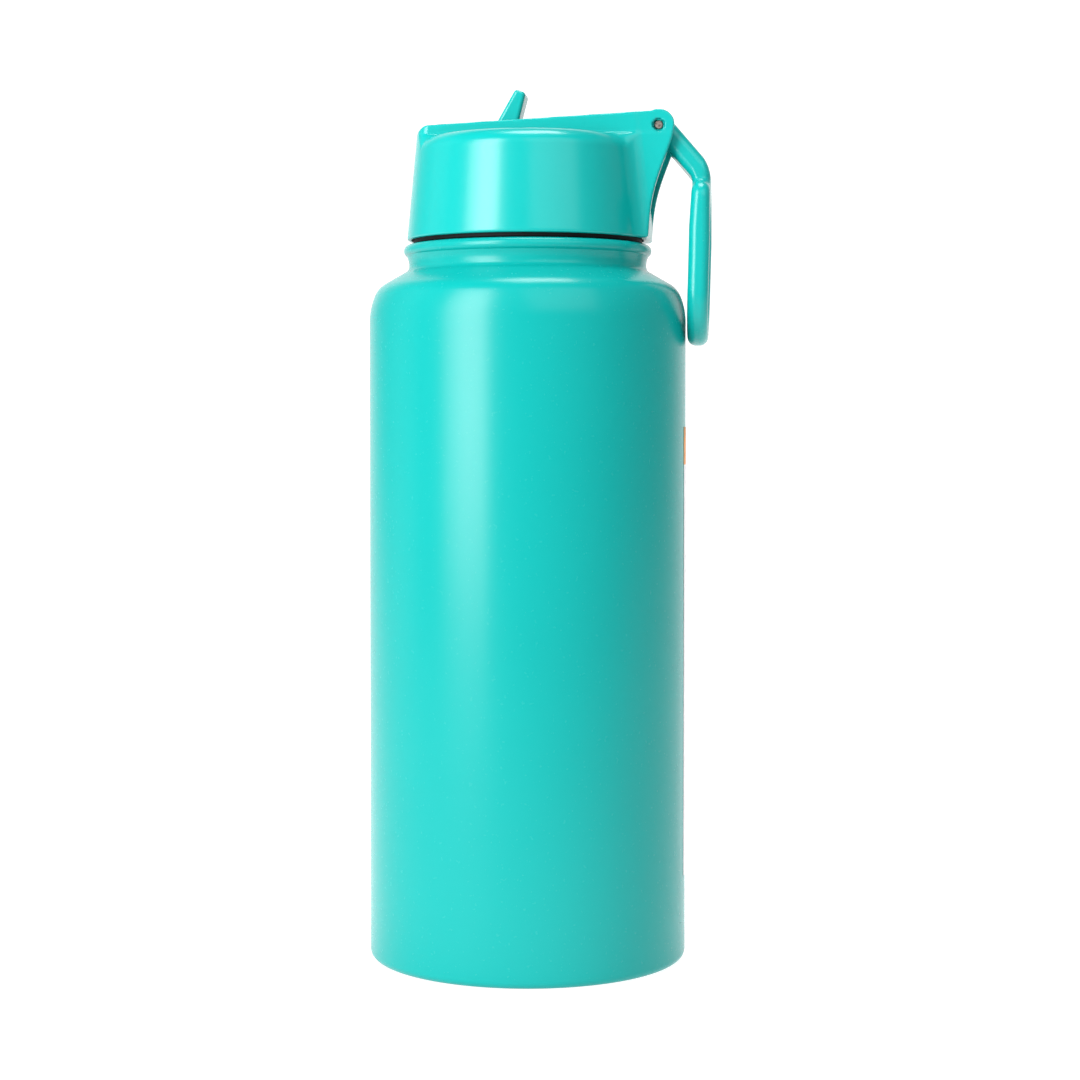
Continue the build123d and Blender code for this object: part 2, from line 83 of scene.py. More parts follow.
def tint(tree, value, first, second):
    """Blend two colours by a value."""
    mix = tree.nodes.new("ShaderNodeMix")
    mix.data_type = "RGBA"
    mix.inputs[6].default_value = (*first, 1)
    mix.inputs[7].default_value = (*second, 1)
    tree.links.new(value, mix.inputs["Factor"])
    return mix.outputs[2]


def relief(tree, shader, height, depth, strength):
    """Raise the surface by a height value, depth in metres."""
    bump = tree.nodes.new("ShaderNodeBump")
    bump.inputs["Strength"].default_value = strength
    bump.inputs["Distance"].default_value = depth
    tree.links.new(height, bump.inputs["Height"])
    tree.links.new(bump.outputs["Normal"], shader.inputs["Normal"])


def dress(node, material):
    """Give a CAD piece one finish all over."""
    nodes[node].data.materials.clear()
    nodes[node].data.materials.append(material)


spun_steel, tree, shader = finish_nodes("spun_steel")
lathe_lines = grain(tree, 900, 2.0, (0.04, 0.04, 1.0))
tree.links.new(tint(tree, spread(tree, lathe_lines, 0, 1), (0.50, 0.50, 0.50), (0.62, 0.61, 0.60)),
               shader.inputs["Base Color"])
tree.links.new(spread(tree, lathe_lines, 0.24, 0.36), shader.inputs["Roughness"])
shader.inputs["Metallic"].default_value = 1.0
relief(tree, shader, lathe_lines, 0.00002, 0.3)
for node in ("inner_flask", "base_pan", "getter", "evac_seal"):
    dress(node, spun_steel)

# ---------------------------------------------------------------------------
# OUTER WALL. One drawn and rolled stainless shell, 0.5 mm, from the foot
# turned under to the bead at the lip. Powder-coated teal, satin, with the
# slight orange peel of a baked coat.
# ---------------------------------------------------------------------------

wall_r = 45.0
foot_r = 2.2
shoulder_z = 180.6
neck_r = 33.8
lip_z = 202.6
bead_r = 1.7
shell_wall = 0.5
seam_r = 30.8
pan_seat_r = 41.2
shoulder_r, brow_r, root_r, waist_r = 20.0, 7.0, 2.0, 5.4
shoulder_centre = (25.0, shoulder_z)
brow_centre = (37.079, 185.407)
root_centre = (neck_r + root_r, 196.55)
cone_angle = math.radians(60)


def arc_points(centre, radius, first, last, count):
    """Points of a circle arc: centre plus radius times (cos a, sin a), a from first to last degrees."""
    a = np.radians(np.linspace(first, last, count))
    return np.column_stack((centre[0] + radius * np.cos(a), centre[1] + radius * np.sin(a)))


def line_points(first, last, count):
    """Points spread evenly on a straight line."""
    t = np.linspace(0, 1, count)[:, None]
    return np.asarray(first) * (1 - t) + np.asarray(last) * t


def turned(name, profile, material, around=256):
    """Surface of revolution: each profile point (r, z), in mm, goes to
    (r cos a, r sin a, z) for a round the axis. The profile is a closed loop."""
    a = np.radians(np.linspace(0, 360.0, around, endpoint=False))
    r, z = profile[:, 0] / 1000, profile[:, 1] / 1000
    points = np.stack((r * np.cos(a)[:, None], r * np.sin(a)[:, None], z + 0 * a[:, None]), axis=-1)
    i = np.arange(around)[:, None]
    j = np.arange(len(profile))[None, :]
    after, beside = (i + 1) % around, (j + 1) % len(profile)
    faces = np.stack(np.broadcast_arrays(
        i * len(profile) + j, after * len(profile) + j,
        after * len(profile) + beside, i * len(profile) + beside,
    ), axis=-1).reshape(-1, 4)
    mesh = bpy.data.meshes.new(name)
    mesh.from_pydata(points.reshape(-1, 3).tolist(), [], faces.tolist())
    mesh.shade_smooth()
    mesh.materials.append(material)
    piece = bpy.data.objects.new(name, mesh)
    bpy.context.scene.collection.objects.link(piece)
    return piece


def shell_side(inset):
    """Half section from the foot to the neck, moved in by inset: a straight wall,
    two convex arcs, a straight cone, a concave root and a waist up to the bead."""
    slant = np.array((math.cos(cone_angle), math.sin(cone_angle)))
    return np.concatenate((
        arc_points((wall_r - foot_r, foot_r), foot_r - inset, -90, 0, 10),
        line_points((wall_r - inset, foot_r + 3), (wall_r - inset, shoulder_z - 3), 40),
        arc_points(shoulder_centre, shoulder_r - inset, 0, 21.7, 12),
        arc_points(brow_centre, brow_r - inset, 23, 60, 14),
        line_points(np.array(brow_centre) + (brow_r - inset) * slant,
                    np.array(root_centre) - (root_r + inset) * slant, 4)[1:-1],
        arc_points(root_centre, root_r + inset, 240, 180, 14),
        arc_points((neck_r + waist_r, root_centre[1] + 0.3), waist_r + inset, 180, 153, 10),
    ))


outside = shell_side(0.0)
bead = arc_points((33.55, lip_z - bead_r), bead_r, -60, 90, 26)
lip = np.array(((32.0, lip_z), (seam_r, lip_z), (seam_r, lip_z - shell_wall),
                (neck_r - shell_wall, lip_z - shell_wall)))
loop = np.concatenate((outside, bead, lip, shell_side(shell_wall)[::-1],
                       np.array(((pan_seat_r, shell_wall), (pan_seat_r, 0.0)))))

powder_coat, tree, shader = finish_nodes("powder_coat")
peel = grain(tree, 950, 2.0)
drift = grain(tree, 14, 2.0)
tree.links.new(tint(tree, spread(tree, drift, 0, 1), (0.001, 0.280, 0.261), (0.002, 0.292, 0.272)),
               shader.inputs["Base Color"])
tree.links.new(spread(tree, peel, 0.23, 0.28), shader.inputs["Roughness"])
shader.inputs["Specular IOR Level"].default_value = 0.22
relief(tree, shader, peel, 0.00003, 0.12)
outer_wall = turned("outer_wall", loop, powder_coat)
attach(outer_wall, "bottle")
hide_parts("outer_shell")

# ---------------------------------------------------------------------------
# BASE COVER. Pressed disc of bare stainless with a circular brushed grain,
# glued into the foot ring so that it stands clear of the table.
# ---------------------------------------------------------------------------

brushed_base, tree, shader = finish_nodes("brushed_base")
where = tree.nodes.new("ShaderNodeTexCoord")
rings = tree.nodes.new("ShaderNodeTexWave")
rings.wave_type = "RINGS"
rings.rings_direction = "Z"
rings.inputs["Scale"].default_value = 380
rings.inputs["Distortion"].default_value = 1.2
rings.inputs["Detail"].default_value = 3
tree.links.new(where.outputs["Object"], rings.inputs["Vector"])
tree.links.new(tint(tree, rings.outputs["Fac"], (0.44, 0.44, 0.45), (0.58, 0.57, 0.56)),
               shader.inputs["Base Color"])
tree.links.new(spread(tree, rings.outputs["Fac"], 0.26, 0.38), shader.inputs["Roughness"])
shader.inputs["Metallic"].default_value = 1.0
relief(tree, shader, rings.outputs["Fac"], 0.00002, 0.4)
dress("base_cover", brushed_base)

# ---------------------------------------------------------------------------
# WRAP LABEL. Coated paper wrapped on the wall below the handle: an orange
# band over a white field with plain grey rules, no lettering.
# ---------------------------------------------------------------------------

label_low, label_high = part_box("wrap_label")[0].z * 1000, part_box("wrap_label")[1].z * 1000
label_start, label_arc = -6.6, 92.0
sheet_out_r, sheet_in_r = 45.16, 45.02
rule_pitch, rule_cut = 2.1, 1.75
block_pitch, block_cut = 17.0, 8.5
rules_from, rules_to = 4.0, 62.0
band_tall = 10.6


def wrapped_label(name, material):
    """Sheet on a cylinder: point (u, v) goes to (r cos a, r sin a, z), a growing with u
    and z with v; a second skin 0.14 mm inside closes it. UV is in millimetres."""
    across, tall = 93, 33
    a = np.radians(label_start + np.linspace(0, label_arc, across))
    z = np.linspace(label_low, label_high, tall) / 1000
    skins = []
    for r in (sheet_out_r / 1000, sheet_in_r / 1000):
        skins.append(np.stack((
            r * np.cos(a)[:, None] + 0 * z, r * np.sin(a)[:, None] + 0 * z, z + 0 * a[:, None],
        ), axis=-1).reshape(-1, 3))
    i, j = np.meshgrid(np.arange(across - 1), np.arange(tall - 1), indexing="ij")
    low = (i * tall + j).ravel()
    front = np.column_stack((low, low + tall, low + tall + 1, low + 1))
    back = front[:, ::-1] + across * tall
    rim = np.concatenate((
        np.arange(0, (across - 1) * tall + 1, tall), (across - 1) * tall + np.arange(1, tall),
        np.arange((across - 1) * tall - 1, tall - 2, -tall), np.arange(tall - 2, 0, -1),
    ))
    after = np.roll(rim, -1)
    edge = np.column_stack((after, rim, rim + across * tall, after + across * tall))
    mesh = bpy.data.meshes.new(name)
    mesh.from_pydata(np.concatenate(skins).tolist(), [], np.concatenate((front, back, edge)).tolist())
    corners = np.zeros(len(mesh.loops), np.int32)
    mesh.loops.foreach_get("vertex_index", corners)
    at = corners % (across * tall)
    uv = np.column_stack((at // tall / (across - 1) * math.radians(label_arc) * wall_r, at % tall / (tall - 1)
                          * (label_high - label_low)))
    mesh.uv_layers.new(name="mm").data.foreach_set("uv", uv.ravel())
    mesh.shade_smooth()
    mesh.materials.append(material)
    piece = bpy.data.objects.new(name, mesh)
    bpy.context.scene.collection.objects.link(piece)
    return piece


def step(tree, value, edge, above=True):
    """1 where value is above (or below) edge, else 0."""
    test = tree.nodes.new("ShaderNodeMath")
    test.operation = "GREATER_THAN" if above else "LESS_THAN"
    test.inputs[1].default_value = edge
    tree.links.new(value, test.inputs[0])
    return test.outputs[0]


def both(tree, first, second):
    """Product of two masks."""
    times = tree.nodes.new("ShaderNodeMath")
    times.operation = "MULTIPLY"
    tree.links.new(first, times.inputs[0])
    tree.links.new(second, times.inputs[1])
    return times.outputs[0]


label_print, tree, shader = finish_nodes("label_print")
sheet_uv = tree.nodes.new("ShaderNodeUVMap")
sheet_uv.uv_map = "mm"
split = tree.nodes.new("ShaderNodeSeparateXYZ")
tree.links.new(sheet_uv.outputs["UV"], split.inputs["Vector"])
across_mm, up_mm = split.outputs["X"], split.outputs["Y"]
pitch = tree.nodes.new("ShaderNodeMath")
pitch.operation = "PINGPONG"
pitch.inputs[1].default_value = rule_pitch
tree.links.new(up_mm, pitch.inputs[0])
rules = step(tree, pitch.outputs[0], rule_cut)
block = tree.nodes.new("ShaderNodeMath")
block.operation = "PINGPONG"
block.inputs[1].default_value = block_pitch
tree.links.new(up_mm, block.inputs[0])
rules = both(tree, rules, step(tree, block.outputs[0], block_cut))
rules = both(tree, rules, step(tree, across_mm, rules_from))
rules = both(tree, rules, step(tree, across_mm, rules_to, above=False))
paper = tint(tree, spread(tree, grain(tree, 300), 0, 1), (0.80, 0.78, 0.79), (0.86, 0.84, 0.85))
ink = tree.nodes.new("ShaderNodeMix")
ink.data_type = "RGBA"
ink.inputs[7].default_value = (0.38, 0.38, 0.40, 1)
tree.links.new(rules, ink.inputs["Factor"])
tree.links.new(paper, ink.inputs[6])
band = tree.nodes.new("ShaderNodeMix")
band.data_type = "RGBA"
band.inputs[7].default_value = (0.86, 0.36, 0.12, 1)
tree.links.new(step(tree, up_mm, label_high - label_low - band_tall), band.inputs["Factor"])
tree.links.new(ink.outputs[2], band.inputs[6])
tree.links.new(band.outputs[2], shader.inputs["Base Color"])
tree.links.new(spread(tree, grain(tree, 700), 0.40, 0.52), shader.inputs["Roughness"])
label = wrapped_label("label_sheet", label_print)
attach(label, "bottle")
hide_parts("wrap_label")

# ---------------------------------------------------------------------------
# BODY GASKET. Flat ring of black silicone on the lip; the lid squeezes it.
# ---------------------------------------------------------------------------

black_silicone, tree, shader = finish_nodes("black_silicone")
bloom = grain(tree, 220, 4.0)
tree.links.new(tint(tree, spread(tree, bloom, 0, 1), (0.003, 0.003, 0.003), (0.007, 0.007, 0.008)),
               shader.inputs["Base Color"])
tree.links.new(spread(tree, bloom, 0.55, 0.70), shader.inputs["Roughness"])
shader.inputs["Specular IOR Level"].default_value = 0.15
relief(tree, shader, bloom, 0.00002, 0.3)
gasket_loop = np.concatenate((
    line_points((27.57, 202.9), (32.4, 202.9), 6), arc_points((32.35, 203.15), 0.25, -90, 0, 4),
    arc_points((32.2, 205.5), 0.4, 0, 90, 6), line_points((32.2, 205.9), (27.97, 205.9), 6),
    arc_points((27.97, 205.5), 0.4, 90, 180, 6),
))
gasket = turned("gasket_ring", gasket_loop, black_silicone, around=192)
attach(gasket, "gasket")
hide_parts("lid_gasket")

# ---------------------------------------------------------------------------
# LID. Injection-moulded shell: a tapered cap whose raised saddle carries the
# spout channel in front and the two cheeks of the handle hinge behind.
# ---------------------------------------------------------------------------

lid_low, lid_side_r, lid_side_top_r, crown_z = 203.9, 34.35, 32.05, 228.3
lid_taper = (lid_side_r - lid_side_top_r) / (crown_z - lid_low)
crown_r = 4.5
deck_z = crown_z + crown_r
saddle_half = 12.0
cheek_wall = 2.8
pin_x, pin_z = 37.8, 235.2
spout_x, spout_z = -8.3, 229.5
cheeks_from_x = 10.0
cheek_heights = np.array((203.9, 209.6, 215.3, 220.2, 225.3, 233.6))
cheek_reaches = (34.9, 35.3, 36.1, 37.4, 39.2, 42.0)
saddle_front_z, saddle_slope = 235.6, math.radians(3)
boss_r = 4.4
fork_x, fork_floor_z = 13.0, 226.4
trough_front, trough_low, trough_back = (-13.7, 229.5), (-8.3, 224.7), (14.0, 226.4)
trough_half, spout_well_r = 7.4, 5.4
skirt_r, skirt_top_z = 33.0, 206.2
ledge_r, ledge_z = 31.0, 208.6
cavity_r, ceiling_z = 29.2, 221.6
vent_x, vent_r, seat_r = 6.0, 1.5, 4.57
socket_r, socket_half = 2.06, 9.1
pin_bore_r, pin_mouth_r, pin_mouth_half = 1.27, 1.65, 11.0


def inside_both(a, b, r):
    """Distance to what is inside both solids, the edge between them rounded to radius r."""
    return np.minimum(-r, np.maximum(a, b)) + np.hypot(np.maximum(r + a, 0), np.maximum(r + b, 0))


def inside_either(a, b, r):
    """Distance to what is inside either solid, the corner between them filled to radius r."""
    return np.maximum(r, np.minimum(a, b)) - np.hypot(np.maximum(r - a, 0), np.maximum(r - b, 0))


def half_plane(u, v, first, second):
    """Distance in front of the line from first to second, negative on its right-hand side."""
    along = np.array(second, float) - first
    along /= np.hypot(*along)
    return (v - first[1]) * along[0] - (u - first[0]) * along[1]


def smooth(t):
    """Ease from 0 to 1 with level ends."""
    t = np.clip(t, 0, 1)
    return t * t * (3 - 2 * t)


def moulded(name, distance, low, high, cell, material):
    """Skin of a solid given by its signed distance in mm, negative inside. Space is cut
    into cubes; each cube that the skin crosses gets one point, the mean of its edge
    crossings, which then slides down the gradient onto the skin. The four cubes round
    each crossed edge make a quad that faces out, and normals are the gradient."""
    low = np.asarray(low, float)
    counts = np.ceil((np.asarray(high) - low) / cell).astype(int) + 1
    axes = [low[k] + cell * np.arange(counts[k]) for k in range(3)]
    value = distance(*np.meshgrid(*axes, indexing="ij", sparse=True))
    value = np.broadcast_to(value, counts)
    within = value < 0
    corners = [within[i:i - 1 or None, j:j - 1 or None, k:k - 1 or None]
               for i in (0, 1) for j in (0, 1) for k in (0, 1)]
    filled = sum(c.astype(np.int8) for c in corners)
    at = np.argwhere((filled > 0) & (filled < 8))
    number = np.full(counts - 1, -1)
    number[tuple(at.T)] = np.arange(len(at))
    total, crossings = np.zeros((len(at), 3)), np.zeros((len(at), 1))
    quads = []
    for axis in range(3):
        step_along = np.eye(3, dtype=int)[axis]
        side, other = np.eye(3, dtype=int)[(axis + 1) % 3], np.eye(3, dtype=int)[(axis + 2) % 3]
        for shift in (0 * side, side, other, side + other):
            first = at + shift
            a, b = value[tuple(first.T)], value[tuple((first + step_along).T)]
            crossed = ((a < 0) != (b < 0))[:, None]
            part = np.where(crossed[:, 0], a / np.where(a == b, 1, a - b), 0)[:, None]
            total += crossed * (first + part * step_along)
            crossings += crossed
        ahead = np.roll(within, -1, axis)
        flips = within != ahead
        flips[tuple(slice(-1, None) if k == axis else slice(None) for k in range(3))] = False
        edge = np.argwhere(flips)
        ring = np.stack([number[tuple((edge - s).T)] for s in (side + other, other, 0 * side, side)], axis=1)
        ring[~within[tuple(edge.T)]] = ring[~within[tuple(edge.T)]][:, ::-1]
        quads.append(ring)
    points = low + cell * total / crossings

    def slope(p):
        nudge = 0.02
        return np.stack([
            distance(*(p + nudge * np.eye(3)[k]).T) - distance(*(p - nudge * np.eye(3)[k]).T)
            for k in range(3)
        ], axis=1) / (2 * nudge)

    for _ in range(4):
        pull = slope(points)
        move = distance(*points.T)[:, None] * pull / np.maximum((pull ** 2).sum(1, keepdims=True), 0.2)
        points -= np.clip(move, -0.4 * cell, 0.4 * cell)
    facing = slope(points)
    facing /= np.maximum(np.linalg.norm(facing, axis=1, keepdims=True), 1e-6)
    mesh = bpy.data.meshes.new(name)
    mesh.from_pydata((points / 1000).tolist(), [], np.concatenate(quads).tolist())
    mesh.shade_smooth()
    mesh.normals_split_custom_set_from_vertices(facing.tolist())
    mesh.materials.append(material)
    piece = bpy.data.objects.new(name, mesh)
    bpy.context.scene.collection.objects.link(piece)
    return piece


def lid_solid(x, y, z):
    """Tapered cap and saddle, less the fork, the spout channel, the hollow underside and the bores."""
    rho, wide = np.hypot(x, y), np.abs(y)
    side = (rho - lid_side_r + lid_taper * (z - lid_low)) * math.cos(math.atan(lid_taper))
    # The cheeks run out of the side wall behind, through a 4 mm fillet.
    rear = (x - np.polyval(np.polyfit(cheek_heights - 218, cheek_reaches, 4), z - 218)) * 0.95
    flank = inside_either(side, np.where(x > cheeks_from_x, wide - saddle_half, 50.0), 4.0)
    outer = np.where(x > cheeks_from_x, inside_both(flank, rear, 0.6), side)
    # The saddle crest climbs three degrees to the pin bosses.
    crest = (z - saddle_front_z - (x + lid_side_top_r) * math.tan(saddle_slope)) * math.cos(saddle_slope)
    boss = np.hypot(x - pin_x, z - pin_z) - boss_r
    cheek_tip = (cheek_reaches[-1], cheek_heights[-1])
    under = np.maximum(half_plane(x, z, (pin_x, pin_z), cheek_tip), pin_x - 0.1 - x)
    saddle = np.minimum(np.minimum(np.maximum(crest, x - pin_x), boss), under)
    top = inside_either(z - deck_z, inside_both(saddle, wide - saddle_half, 0.5), 1.0)
    behind = x > cheeks_from_x
    turn_over = np.where(behind, 0.5, 2.0) + np.where(behind, 4.0, 2.5) * smooth((wide - saddle_half) / 2.5)
    solid = inside_both(outer, top, turn_over)
    solid = inside_both(solid, lid_low - z, 0.7)

    steep = half_plane(z, x, (201.9, 36.0), (223.4, 33.6))
    fork = np.maximum(fork_x - x, -inside_both(z - fork_floor_z, steep, 3.0))
    fork = inside_both(fork, wide - (saddle_half - cheek_wall), 0.3)
    trough = np.maximum(np.maximum(trough_front[0] - x, x - trough_back[0]), np.maximum(
        -half_plane(x, z, trough_front, trough_low), -half_plane(x, z, trough_low, trough_back)))
    trough = np.minimum(trough, np.hypot(x - spout_x, z - spout_z) - spout_well_r)
    solid = inside_both(solid, -np.minimum(fork, inside_both(trough, wide - trough_half, 0.3)), 0.45)

    # Skirt bore, ledge for the plug's flange, then the cavity with three degrees of draft.
    hollow = np.minimum(np.maximum(rho - skirt_r, z - skirt_top_z), np.maximum(rho - ledge_r, z - ledge_z))
    hollow = np.minimum(hollow, inside_both(rho - cavity_r + 0.0524 * (z - 208.1), z - ceiling_z, 1.0))
    pocket = np.maximum(np.maximum(np.abs(x + 21.2) - 4.8, wide - 7.5), z - 232.6)
    vent = np.maximum(np.hypot(x - vent_x, y) - vent_r, z - 229.0)
    seat = np.maximum(np.hypot(x - spout_x, y) - seat_r, z - 226.6)
    hollow = np.minimum(np.minimum(hollow, pocket), np.minimum(vent, seat))
    sockets = np.maximum(np.hypot(x - spout_x, z - spout_z) - socket_r, wide - socket_half)
    pin_reach = np.hypot(x - pin_x, z - pin_z)
    bores = np.minimum(pin_reach - pin_bore_r, np.maximum(pin_reach - pin_mouth_r, pin_mouth_half - wide))
    return np.maximum(solid, -np.minimum(hollow, np.minimum(sockets, bores)))


lid_plastic, tree, shader = finish_nodes("lid_plastic")
texture = grain(tree, 1400, 2.0)
drift = grain(tree, 25, 2.0)
tree.links.new(tint(tree, spread(tree, drift, 0, 1), (0.001, 0.312, 0.292), (0.002, 0.325, 0.304)),
               shader.inputs["Base Color"])
tree.links.new(spread(tree, texture, 0.20, 0.26), shader.inputs["Roughness"])
shader.inputs["Specular IOR Level"].default_value = 0.32
relief(tree, shader, texture, 0.00002, 0.10)
lid = moulded("lid_cap", lid_solid, (-35.2, -35.2, 203.0), (43.4, 35.2, 241.0), 0.55, lid_plastic)
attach(lid, "lid")
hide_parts("lid_shell")

# ---------------------------------------------------------------------------
# THREADED PLUG, SEAL, VENT, STRAW AND PIN. Pale polypropylene plug and straw,
# clear silicone seat and valve, and the steel pin pressed through the cheeks.
# ---------------------------------------------------------------------------

pale_plastic, tree, shader = finish_nodes("pale_plastic")
flow = grain(tree, 180, 3.0)
tree.links.new(tint(tree, spread(tree, flow, 0, 1), (0.70, 0.71, 0.71), (0.78, 0.78, 0.77)),
               shader.inputs["Base Color"])
tree.links.new(spread(tree, flow, 0.34, 0.46), shader.inputs["Roughness"])
shader.inputs["Subsurface Weight"].default_value = 0.15
shader.inputs["Subsurface Radius"].default_value = (0.002, 0.002, 0.002)
dress("threaded_plug", pale_plastic)

straw_plastic, tree, shader = finish_nodes("straw_plastic")
draw_lines = grain(tree, 500, 2.0, (1, 1, 0.03))
tree.links.new(tint(tree, spread(tree, draw_lines, 0, 1), (0.62, 0.64, 0.65), (0.72, 0.73, 0.73)),
               shader.inputs["Base Color"])
tree.links.new(spread(tree, draw_lines, 0.28, 0.38), shader.inputs["Roughness"])
dress("straw", straw_plastic)

clear_silicone, tree, shader = finish_nodes("clear_silicone")
cloud = grain(tree, 260, 3.0)
tree.links.new(tint(tree, spread(tree, cloud, 0, 1), (0.66, 0.68, 0.68), (0.76, 0.77, 0.77)),
               shader.inputs["Base Color"])
tree.links.new(spread(tree, cloud, 0.36, 0.5), shader.inputs["Roughness"])
shader.inputs["Subsurface Weight"].default_value = 0.3
shader.inputs["Subsurface Radius"].default_value = (0.003, 0.003, 0.003)
for node in ("seat_seal", "vent_valve"):
    dress(node, clear_silicone)

pin_steel, tree, shader = finish_nodes("pin_steel")
turning = grain(tree, 1500, 2.0, (1.0, 0.05, 1.0))
tree.links.new(tint(tree, spread(tree, turning, 0, 1), (0.22, 0.18, 0.16), (0.40, 0.35, 0.31)),
               shader.inputs["Base Color"])
tree.links.new(spread(tree, turning, 0.25, 0.4), shader.inputs["Roughness"])
shader.inputs["Metallic"].default_value = 1.0
dress("handle_pin", pin_steel)

# ---------------------------------------------------------------------------
# SPOUT. Same plastic as the lid: a flattened mouthpiece on a barrel that
# turns on two trunnions, with the drinking slot running through it.
# ---------------------------------------------------------------------------

spout_lean = math.radians(22.0)
spout_length = 17.9
spout_barrel_r, spout_barrel_half = 5.0, 7.0
blade_half, blade_root, blade_taper = 4.75, 4.0, 2.4
trunnion_r, trunnion_half = 2.0, 8.8
slot_half, slot_r, duct_r = 2.25, 0.75, 2.3


def spout_solid(x, y, z):
    """Barrel, tapering blade and trunnions, less the slot and the duct under it."""
    wide = np.abs(y)
    u = (x - spout_x) * math.cos(spout_lean) - (z - spout_z) * math.sin(spout_lean)
    v = (x - spout_x) * math.sin(spout_lean) + (z - spout_z) * math.cos(spout_lean)
    about = np.hypot(u, v)
    barrel = inside_both(about - spout_barrel_r, wide - spout_barrel_half, 0.6)
    blade = inside_both(np.abs(u) - blade_root + blade_taper * v / spout_length, wide - blade_half, 1.1)
    blade = np.maximum(inside_both(blade, v - spout_length, 0.9), -v)
    solid = inside_either(barrel, blade, 0.2)
    solid = np.minimum(solid, inside_both(about - trunnion_r, wide - trunnion_half, 0.3))
    slot = np.maximum(np.hypot(u, np.maximum(wide - slot_half, 0)) - slot_r, -1.0 - v)
    duct = np.maximum(np.hypot(x - spout_x, y) - duct_r, z - spout_z)
    return inside_both(solid, -np.minimum(slot, duct), 0.25)


spout = moulded("spout_mouthpiece", spout_solid, (-14.2, -9.4, 223.5), (2.4, 9.4, 249.5), 0.25, lid_plastic)
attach(spout, "spout")
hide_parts("spout")

# ---------------------------------------------------------------------------
# CARRY HANDLE. Moulded loop in the lid colour, hung on the steel pin: a
# narrow arm that widens into a closed loop with well rounded edges.
# ---------------------------------------------------------------------------

arm_dip = math.radians(49.4)
hinge_r, arm_under, arm_half = 3.7, 2.4, 8.7
handle_out_x, handle_in_x, handle_low_z = 52.0, 46.2, 174.0
handle_tuck, tuck_from_z = 0.7, 203.0
loop_half, loop_top_z, loop_low_z = 15.0, 219.6, 189.0
window_half, window_top_z = 9.0, 204.0
handle_edge_r, pin_hole_r = 2.4, 1.31


def handle_solid(x, y, z):
    """Side outline (barrel, arm, knee, leg) crossed with the front outline (arm
    on the shoulders of a loop), the edge between the two rounded to 2.4 mm, less the pin bore."""
    run = (x - pin_x) * math.cos(arm_dip) - (z - pin_z) * math.sin(arm_dip)
    off = (x - pin_x) * math.sin(arm_dip) + (z - pin_z) * math.cos(arm_dip)
    tuck = handle_tuck * np.clip((tuck_from_z - z) / (tuck_from_z - handle_low_z), 0, 1)
    face = x - handle_out_x + tuck - 0.002 * (z - handle_low_z)
    back = x - handle_in_x + tuck - 0.8 * smooth((z - tuck_from_z) / 17.8)
    strap = np.maximum(inside_both(face, off - hinge_r, 2.2), -inside_both(back, off + arm_under, 0.8))
    barrel = np.hypot(x - pin_x, z - pin_z)
    side_view = np.minimum(np.maximum(strap, -run), barrel - hinge_r)

    loop = np.where(z < loop_low_z, np.hypot(y, z - loop_low_z) - loop_half,
                    inside_both(np.abs(y) - loop_half, z - loop_top_z, 4.8))
    front_view = inside_either(loop, np.maximum(np.abs(y) - arm_half, 200.0 - z), 1.5)
    window = np.hypot(y, z - np.clip(z, loop_low_z, window_top_z)) - window_half
    front_view = np.maximum(front_view, -window)
    return inside_both(inside_both(side_view, front_view, handle_edge_r), pin_hole_r - barrel, 0.3)


handle_plastic, tree, shader = finish_nodes("handle_plastic")
texture = grain(tree, 1400, 2.0)
drift = grain(tree, 30, 2.0)
tree.links.new(tint(tree, spread(tree, drift, 0, 1), (0.001, 0.305, 0.284), (0.002, 0.318, 0.296)),
               shader.inputs["Base Color"])
tree.links.new(spread(tree, texture, 0.22, 0.28), shader.inputs["Roughness"])
shader.inputs["Specular IOR Level"].default_value = 0.32
relief(tree, shader, texture, 0.00002, 0.10)
handle = moulded("handle_loop", handle_solid, (33.4, -15.6, 173.4), (52.9, 15.6, 239.9), 0.35, handle_plastic)
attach(handle, "handle")
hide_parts("carry_handle")

# ---------------------------------------------------------------------------
# STUDIO. Round pale floor that curves up into a wall. The floor glows: it carries a painted
# pool of light, brightest behind the object and dimmer in front. A tall soft box and its
# wing stand front left, weaker ones square left and front right, and one hangs
# above.

floor_r, bend_r, wall_top, floor_thick = 2200, 900, 3600, 20
glow_y, glow_x = (-0.55, -0.03), (2.60, 1.40)
glow_least, glow_most = 0.13, 0.92

floor_paper_painted_glow, tree, shader = finish_nodes("floor_paper_painted_glow")
tree.links.new(tint(tree, spread(tree, grain(tree, 40, 4.0), 0, 1), (0.43, 0.43, 0.43), (0.47, 0.47, 0.47)),
               shader.inputs["Base Color"])
tree.links.new(spread(tree, grain(tree, 90), 0.80, 0.90), shader.inputs["Roughness"])
shader.inputs["Specular IOR Level"].default_value = 0.0
# Painted light: the floor's emission glows brightest behind the object and fades towards the front, a painted
# pool of light, not a lamp.
shader.inputs["Emission Color"].default_value = (1, 1, 1, 1)
where = tree.nodes.new("ShaderNodeTexCoord")
parts = tree.nodes.new("ShaderNodeSeparateXYZ")
aside = tree.nodes.new("ShaderNodeMath")
aside.operation = "ABSOLUTE"
tree.links.new(where.outputs["Object"], parts.inputs["Vector"])
tree.links.new(parts.outputs["X"], aside.inputs[0])
painted_light_pools = []
for value, (dark, light) in ((parts.outputs["Y"], glow_y), (aside.outputs[0], glow_x)):
    painted_light_pool = tree.nodes.new("ShaderNodeMapRange")
    painted_light_pool.interpolation_type = "SMOOTHSTEP"
    painted_light_pool.inputs["From Min"].default_value = dark
    painted_light_pool.inputs["From Max"].default_value = light
    tree.links.new(value, painted_light_pool.inputs["Value"])
    painted_light_pools.append(painted_light_pool.outputs["Result"])
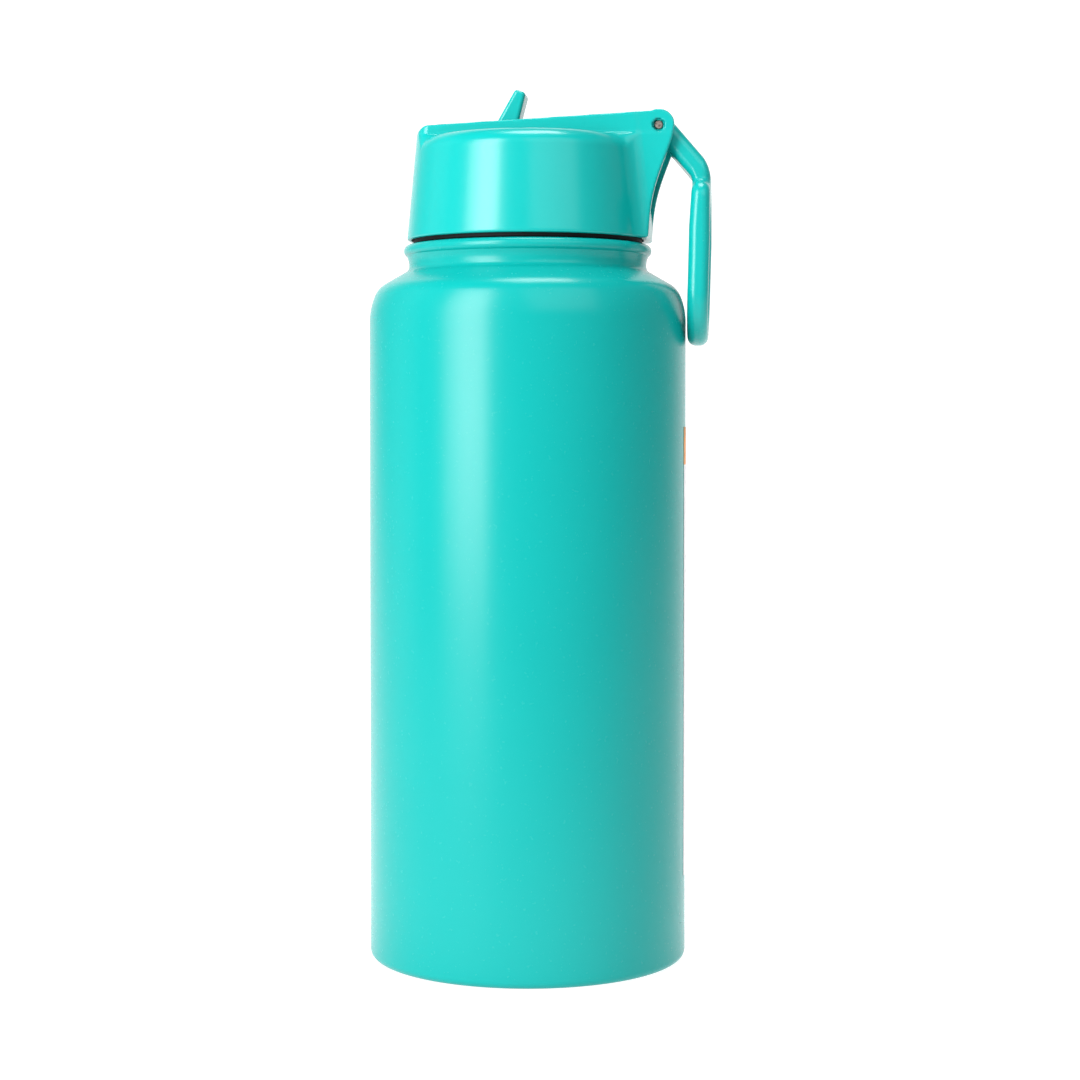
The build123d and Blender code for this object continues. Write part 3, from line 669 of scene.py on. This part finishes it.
painted_glow_level = tree.nodes.new("ShaderNodeMapRange")
painted_glow_level.inputs["To Min"].default_value = glow_least
painted_glow_level.inputs["To Max"].default_value = glow_most
tree.links.new(both(tree, *painted_light_pools), painted_glow_level.inputs["Value"])
tree.links.new(painted_glow_level.outputs["Result"], shader.inputs["Emission Strength"])

wall_in_r = floor_r + bend_r
bowl = np.concatenate((
    line_points((0.5, 0), (floor_r, 0), 24), arc_points((floor_r, bend_r), bend_r, -90, 0, 24)[1:],
    line_points((wall_in_r, bend_r), (wall_in_r, wall_top), 8)[1:],
    line_points((wall_in_r + floor_thick, wall_top), (wall_in_r + floor_thick, -floor_thick), 2),
    line_points((wall_in_r, -floor_thick), (0.5, -floor_thick), 2),
))
floor = turned("floor", bowl, floor_paper_painted_glow, around=96)


def soft_box(name, place, width, height, power, aim=(0, 0, 0.12)):
    """Rectangular soft light facing aim, sizes in metres, power in watts."""
    lamp = bpy.data.lights.new(name, "AREA")
    lamp.shape = "RECTANGLE"
    lamp.size, lamp.size_y = width, height
    lamp.energy = power
    light = bpy.data.objects.new(name, lamp)
    light.location = place
    light.rotation_euler = (Vector(aim) - Vector(place)).to_track_quat("-Z", "Y").to_euler()
    bpy.context.scene.collection.objects.link(light)


soft_box("front_left_box", (-0.49, -0.755, 0.54), 0.33, 0.96, 14.2, (0, 0, 0.54))
soft_box("front_left_wing", (-0.68, -0.60, 0.54), 0.18, 0.96, 4.4, (0, 0, 0.54))
soft_box("left_box", (-0.82, 0.02, 0.42), 0.36, 0.80, 0.4, (0, 0, 0.42))
soft_box("right_fill", (0.62, -1.00, 0.90), 1.20, 1.00, 7.0, (0, 0, 0.12))
soft_box("high_box", (0.06, 0.04, 1.20), 0.40, 0.48, 7.5, (0, 0, 0.2))

world = bpy.data.worlds.new("studio")
world.use_nodes = True
world.node_tree.nodes["Background"].inputs["Color"].default_value = (1, 1, 1, 1)
world.node_tree.nodes["Background"].inputs["Strength"].default_value = 0.10
bpy.context.scene.world = world
bpy.context.scene.view_settings.view_transform = "Standard"
bpy.context.scene.view_settings.look = "None"

around, reach, eye_z = math.radians(5.7), 0.66286, 0.15327
camera_data = bpy.data.cameras.new("camera")
camera_data.lens = 77.28
camera_data.sensor_width = 36.0
camera_data.shift_x = 0.01135
camera_data.shift_y = -0.0559
camera_data.clip_start = 0.01
camera = bpy.data.objects.new("camera", camera_data)
camera.location = (reach * math.sin(around), -reach * math.cos(around), eye_z)
camera.rotation_euler = (math.radians(88.5), 0, around)
bpy.context.scene.collection.objects.link(camera)
bpy.context.scene.camera = camera
